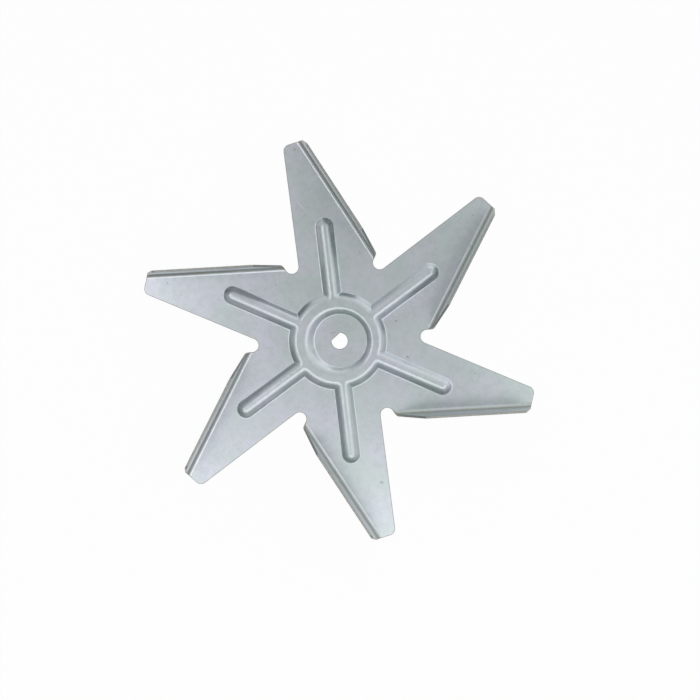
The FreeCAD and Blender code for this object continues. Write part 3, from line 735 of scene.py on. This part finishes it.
def coat_colour(tree, place, patterns, colours):
    """Colour of the coat. Its cast drifts from blue to green across the sheet, the clouds
    break that up, and then come the tints."""
    across = add_node(tree, "ShaderNodeVectorMath", {"operation": "DOT_PRODUCT", 1: GREEN_SIDE},
                      {0: place})
    drift = add_node(tree, "ShaderNodeMapRange",
                     {"From Min": -GREEN_REACH, "From Max": GREEN_REACH,
                      "To Min": -GREEN_DRIFT, "To Max": GREEN_DRIFT},
                     {"Value": across.outputs["Value"]})
    clouds = add_node(tree, "ShaderNodeMapRange", {"From Min": 0.36, "From Max": 0.64},
                      {"Value": patterns["clouds"]})
    cast = add_node(tree, "ShaderNodeMath", {"operation": "ADD"},
                    {0: clouds.outputs["Result"], 1: drift.outputs["Result"]})
    mix = add_node(tree, "ShaderNodeMix",
                   {"data_type": "RGBA", MIX_FIRST: with_alpha(colours.zinc_blue),
                    MIX_SECOND: with_alpha(colours.zinc_green)},
                   {"Factor": cast.outputs["Value"]})
    for pattern, start, full, share, tint in COAT_TINTS:
        tinted = add_node(tree, "ShaderNodeMapRange",
                          {"From Min": start, "From Max": full, "To Max": share},
                          {"Value": patterns[pattern]})
        mix = add_node(tree, "ShaderNodeMix",
                       {"data_type": "RGBA", MIX_SECOND: with_alpha(getattr(colours, tint))},
                       {"Factor": tinted.outputs["Result"], MIX_FIRST: mix.outputs[MIX_RESULT]})
    return mix.outputs[MIX_RESULT]


def coat_roughness(tree, patterns):
    """Roughness of the coat: smudges make it uneven, and folds, crests and scratches add."""
    rough = add_node(tree, "ShaderNodeMapRange",
                     {"From Min": 0.3, "From Max": 0.7,
                      "To Min": CLEAN_ROUGHNESS, "To Max": SMUDGED_ROUGHNESS},
                     {"Value": patterns["smudges"]}).outputs["Result"]
    for pattern, full, more in COAT_ROUGHENING:
        added = add_node(tree, "ShaderNodeMapRange", {"From Max": full, "To Max": more},
                         {"Value": patterns[pattern]})
        rough = add_node(tree, "ShaderNodeMath", {"operation": "ADD"},
                         {0: rough, 1: added.outputs["Result"]}).outputs["Value"]
    return rough


def zinc_coated_sheet(colours):
    """Cold-rolled steel sheet with a satin, clear-passivated zinc coat. The eye gets a soft
    grey gloss with a faint blue and green cast, fine grain, a few scratches, matt crests
    with painted shade that tones down their highlights, and painted shade along each fold
    and, thinner, over the blades, where the coat is rougher too."""
    material, tree = new_material("satin_zinc_coated_steel")
    place = add_node(tree, "ShaderNodeTexCoord").outputs["Object"]
    patterns = coat_patterns(tree, place)
    colour = coat_colour(tree, place, patterns, colours)
    rough = coat_roughness(tree, patterns)
    wavy = add_node(tree, "ShaderNodeBump", {"Strength": 1.0, "Distance": 0.02 * MM},
                    {"Height": patterns["waves"]})
    grainy = add_node(tree, "ShaderNodeBump", {"Strength": 0.5, "Distance": 0.004 * MM},
                      {"Height": patterns["grain"], "Normal": wavy.outputs["Normal"]})
    scratched = add_node(tree, "ShaderNodeBump",
                         {"Strength": 0.5, "Distance": 0.01 * MM, "invert": True},
                         {"Height": patterns["scratches"], "Normal": grainy.outputs["Normal"]})
    surface = add_node(tree, "ShaderNodeBsdfPrincipled", {"Metallic": 1.0},
                       {"Base Color": colour, "Roughness": rough,
                        "Normal": scratched.outputs["Normal"]})
    add_node(tree, "ShaderNodeOutputMaterial", None, {"Surface": surface.outputs["BSDF"]})
    return material


# Where the cut's looks change, as shares of the way down: the lip that the punch drew in
# gets painted shade, full down to the first and gone from the second, and the steel broke
# from the third on.
LIP_SHADE_FULL = 0.2
LIP_SHADE_GONE = 0.4
BREAK_START = 0.42
BREAK_FULL = 0.52
BURNISHED_ROUGHNESS = 0.36
BROKEN_ROUGHNESS = 0.5
# The break's grain is near 0.2 mm. It is drawn at 0.7 mm, so that it shows.
BREAK_GRAIN = 0.7 * MM


def sheared_edge(colours):
    """Edge of the sheet as the punch left it, cut after coating. Right at the upper face the
    lip that the punch drew in is darkened with painted shade. Below it the punch burnished
    the edge, and below that the steel broke and is darker and duller."""
    material, tree = new_material("sheared_steel_edge")
    bare, broken_and_lip_shade = with_alpha(colours.bare_steel), with_alpha(colours.broken_steel_and_lip_shade)
    place = add_node(tree, "ShaderNodeTexCoord").outputs["Object"]
    depth = add_node(tree, "ShaderNodeAttribute", {"attribute_name": "cut_depth"}).outputs["Fac"]
    grain = add_node(tree, "ShaderNodeTexNoise", {"Scale": 1 / BREAK_GRAIN, "Detail": 2.0},
                     {"Vector": place}).outputs["Fac"]
    bright = add_node(tree, "ShaderNodeMapRange", {"From Min": 0.35, "From Max": 0.65},
                      {"Value": grain})
    speckled = add_node(tree, "ShaderNodeMix",
                        {"data_type": "RGBA", MIX_FIRST: broken_and_lip_shade, MIX_SECOND: bare},
                        {"Factor": bright.outputs["Result"]})
    below = add_node(tree, "ShaderNodeMapRange",
                     {"From Min": BREAK_START, "From Max": BREAK_FULL}, {"Value": depth})
    cut = add_node(tree, "ShaderNodeMix", {"data_type": "RGBA", MIX_FIRST: bare},
                   {"Factor": below.outputs["Result"], MIX_SECOND: speckled.outputs[MIX_RESULT]})
    # Painted shade on the lip that the punch drew in, at the top of the cut.
    lip = add_node(tree, "ShaderNodeMapRange", {"From Min": LIP_SHADE_GONE, "From Max": LIP_SHADE_FULL},
                   {"Value": depth})
    whole = add_node(tree, "ShaderNodeMix", {"data_type": "RGBA", MIX_SECOND: broken_and_lip_shade},
                     {"Factor": lip.outputs["Result"], MIX_FIRST: cut.outputs[MIX_RESULT]})
    rough = add_node(tree, "ShaderNodeMapRange",
                     {"From Min": BREAK_START, "From Max": BREAK_FULL,
                      "To Min": BURNISHED_ROUGHNESS, "To Max": BROKEN_ROUGHNESS},
                     {"Value": depth})
    bump = add_node(tree, "ShaderNodeBump", {"Strength": 0.6, "Distance": 0.03 * MM},
                    {"Height": grain})
    surface = add_node(tree, "ShaderNodeBsdfPrincipled", {"Metallic": 1.0},
                       {"Base Color": whole.outputs[MIX_RESULT],
                        "Roughness": rough.outputs["Result"], "Normal": bump.outputs["Normal"]})
    add_node(tree, "ShaderNodeOutputMaterial", None, {"Surface": surface.outputs["BSDF"]})
    return material


# The paper reaches the horizon and lies just below the sheet. Its lift is the share of
# plain white that the camera and the metal see.
FLOOR_HALF = 8.0
FLOOR_DROP = 0.05 * MM
FLOOR_LIFT = 0.95


def paper_floor(colours):
    """Matt paper. To the camera and in reflections it is lifted to white, and it keeps
    part of its own shading, so the object's shadow stays."""
    material, tree = new_material("pale_paper_floor")
    paper = add_node(tree, "ShaderNodeBsdfDiffuse", {"Color": with_alpha(colours.floor)})
    glow = add_node(tree, "ShaderNodeEmission", {"Strength": 1.0})
    ray = add_node(tree, "ShaderNodeLightPath").outputs
    seen = add_node(tree, "ShaderNodeMath", {"operation": "MAXIMUM"},
                    {0: ray["Is Camera Ray"], 1: ray["Is Glossy Ray"]})
    also_through = add_node(tree, "ShaderNodeMath", {"operation": "MAXIMUM"},
                            {0: seen.outputs["Value"], 1: ray["Is Transmission Ray"]})
    share = add_node(tree, "ShaderNodeMath", {"operation": "MULTIPLY", 1: FLOOR_LIFT},
                     {0: also_through.outputs["Value"]})
    lifted = add_node(tree, "ShaderNodeMixShader", None,
                      {0: share.outputs["Value"], 1: paper.outputs["BSDF"],
                       2: glow.outputs["Emission"]})
    add_node(tree, "ShaderNodeOutputMaterial", None, {"Surface": lifted.outputs["Shader"]})
    return material


class IMPELLER_OT_press_sheet(bpy.types.Operator):
    """Press, punch and fold the steel sheet of the impeller"""

    bl_idname = "impeller.press_sheet"
    bl_label = "Press the sheet"

    def execute(self, context):
        sheet = Sheet(context.scene.impeller_sizes)
        colours = context.scene.impeller_colours
        mesh = sheet_mesh(sheet)
        mesh.materials.append(zinc_coated_sheet(colours))
        mesh.materials.append(sheared_edge(colours))
        piece = bpy.data.objects.new("pressed_sheet", mesh)
        context.scene.collection.objects.link(piece)
        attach(piece, "root")
        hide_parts("impeller")
        return {"FINISHED"}


# The camera looks down past the shaft. Lens and sensor are in millimetres. Where the eye is
# and what it aims at are given right of the shaft, above it in the picture, and in height.
CAMERA_RIGHT = polar(1, math.radians(-132.88))
CAMERA_UP = polar(1, math.radians(-42.88))
CAMERA_LENS = 56.79
CAMERA_SENSOR = 36.0
CAMERA_EYE = (0.00146, 0.00881, 0.4083)
CAMERA_GOAL = (0.003836, -0.003368, 0.0)


def from_camera(right, up, height):
    """Place in metres, given as the camera sees it round the shaft, with a height."""
    flat = CAMERA_RIGHT * right + CAMERA_UP * up
    return Vector((flat[0], flat[1], height))


# Softboxes hang level at one height. Each has its place right of and above the shaft, as
# the camera sees it, then its width and length, in metres.
SOFTBOX_HEIGHT = 0.9
SOFTBOX_GLOW = 1.12
SOFTBOXES = (
    ("softbox_front", 0.03, -0.493, 1.10, 0.58),
    ("softbox_left", -0.49, 0.06, 0.56, 0.38),
    ("softbox_right", 0.525, -0.01, 0.45, 0.36),
)
# Grey of the studio all round, from its dim side through straight above to its pale side.
STUDIO_GREYS = (
    (0.0, 0.31), (0.25, 0.34), (0.4, 0.50), (0.5, 0.50), (0.54, 0.44), (0.62, 0.53),
    (0.75, 0.62), (0.9, 0.95))
PALE_SIDE = math.radians(58)
# Straight above, where the camera hangs, the studio is a little darker: how steep a ray
# is, and the strength that the greys have there.
OVERHEAD = {"From Min": 0.965, "From Max": 1.0, "To Min": 1.12, "To Max": 0.78}


def add_softbox(name, right, up, width, length):
    """Level softbox whose face has one even glow, whatever its size."""
    light = bpy.data.lights.new(name, "AREA")
    light.shape = "RECTANGLE"
    light.size = width
    light.size_y = length
    light.energy = SOFTBOX_GLOW * math.pi * width * length
    lamp = bpy.data.objects.new(name, light)
    lamp.location = from_camera(right, up, SOFTBOX_HEIGHT)
    lamp.rotation_euler.z = math.atan2(CAMERA_RIGHT[1], CAMERA_RIGHT[0])
    bpy.context.scene.collection.objects.link(lamp)


def studio_world():
    """Even grey studio all round, paler to one side and darker straight above."""
    world = bpy.data.worlds.new("studio")
    world.use_nodes = True
    tree = world.node_tree
    tree.nodes.clear()
    direction = add_node(tree, "ShaderNodeTexCoord").outputs["Generated"]
    pale_side = from_camera(math.cos(PALE_SIDE), math.sin(PALE_SIDE), 0)
    side = add_node(tree, "ShaderNodeVectorMath", {"operation": "DOT_PRODUCT", 1: pale_side},
                    {0: direction})
    share = add_node(tree, "ShaderNodeMapRange", {"From Min": -1.0, "From Max": 1.0},
                     {"Value": side.outputs["Value"]})
    ramp = add_node(tree, "ShaderNodeValToRGB", None, {"Fac": share.outputs["Result"]})
    stops = ramp.color_ramp.elements
    while len(stops) < len(STUDIO_GREYS):
        stops.new(1.0)
    for stop, (place, grey) in zip(stops, STUDIO_GREYS):
        stop.position = place
        stop.color = with_alpha((grey, grey, grey))
    height = add_node(tree, "ShaderNodeSeparateXYZ", None, {"Vector": direction})
    overhead = add_node(tree, "ShaderNodeMapRange", OVERHEAD, {"Value": height.outputs["Z"]})
    air = add_node(tree, "ShaderNodeBackground", None,
                   {"Color": ramp.outputs["Color"], "Strength": overhead.outputs["Result"]})
    add_node(tree, "ShaderNodeOutputWorld", None, {"Surface": air.outputs["Background"]})
    return world


class IMPELLER_OT_set_stage(bpy.types.Operator):
    """Set the floor, the soft studio light and the camera"""

    bl_idname = "impeller.set_stage"
    bl_label = "Set the stage"

    def execute(self, context):
        scene = context.scene
        scene.view_settings.view_transform = "Standard"
        mesh = bpy.data.meshes.new("floor")
        corners = [(-FLOOR_HALF, -FLOOR_HALF, 0), (FLOOR_HALF, -FLOOR_HALF, 0),
                   (FLOOR_HALF, FLOOR_HALF, 0), (-FLOOR_HALF, FLOOR_HALF, 0)]
        mesh.from_pydata(corners, [], [(0, 1, 2, 3)])
        mesh.materials.append(paper_floor(scene.impeller_colours))
        floor = bpy.data.objects.new("floor", mesh)
        floor.location.z = NODE_LOW.z - FLOOR_DROP
        scene.collection.objects.link(floor)

        scene.world = studio_world()
        for name, right, up, width, length in SOFTBOXES:
            add_softbox(name, right, up, width, length)

        camera = bpy.data.cameras.new("camera")
        camera.lens = CAMERA_LENS
        camera.sensor_width = CAMERA_SENSOR
        eye = from_camera(*CAMERA_EYE)
        goal = from_camera(*CAMERA_GOAL)
        viewer = bpy.data.objects.new("camera", camera)
        back = (eye - goal).normalized()
        side = from_camera(0, 1, 0).cross(back).normalized()
        turn = Matrix((side, back.cross(side), back)).transposed()
        viewer.matrix_world = Matrix.Translation(eye) @ turn.to_4x4()
        scene.collection.objects.link(viewer)
        scene.camera = viewer
        return {"FINISHED"}


class IMPELLER_PT_panel(bpy.types.Panel):
    """Sizes, colours and steps of the impeller"""

    bl_idname = "IMPELLER_PT_panel"
    bl_label = "Impeller"
    bl_space_type = "VIEW_3D"
    bl_region_type = "UI"
    bl_category = "Impeller"

    def draw(self, context):
        for step in STEPS:
            self.layout.operator(step.bl_idname)
        for group in (context.scene.impeller_sizes, context.scene.impeller_colours):
            for name in group.__annotations__:
                self.layout.prop(group, name)


STEPS = (IMPELLER_OT_press_sheet, IMPELLER_OT_set_stage)
CLASSES = (ImpellerSizes, ImpellerColours, *STEPS, IMPELLER_PT_panel)


def register():
    for item in CLASSES:
        bpy.utils.register_class(item)
    bpy.types.Scene.impeller_sizes = bpy.props.PointerProperty(type=ImpellerSizes)
    bpy.types.Scene.impeller_colours = bpy.props.PointerProperty(type=ImpellerColours)


def unregister():
    del bpy.types.Scene.impeller_colours
    del bpy.types.Scene.impeller_sizes
    for item in reversed(CLASSES):
        bpy.utils.unregister_class(item)


def main():
    register()
    bpy.ops.impeller.press_sheet()
    bpy.ops.impeller.set_stage()


if __name__ == "__main__":
    main()
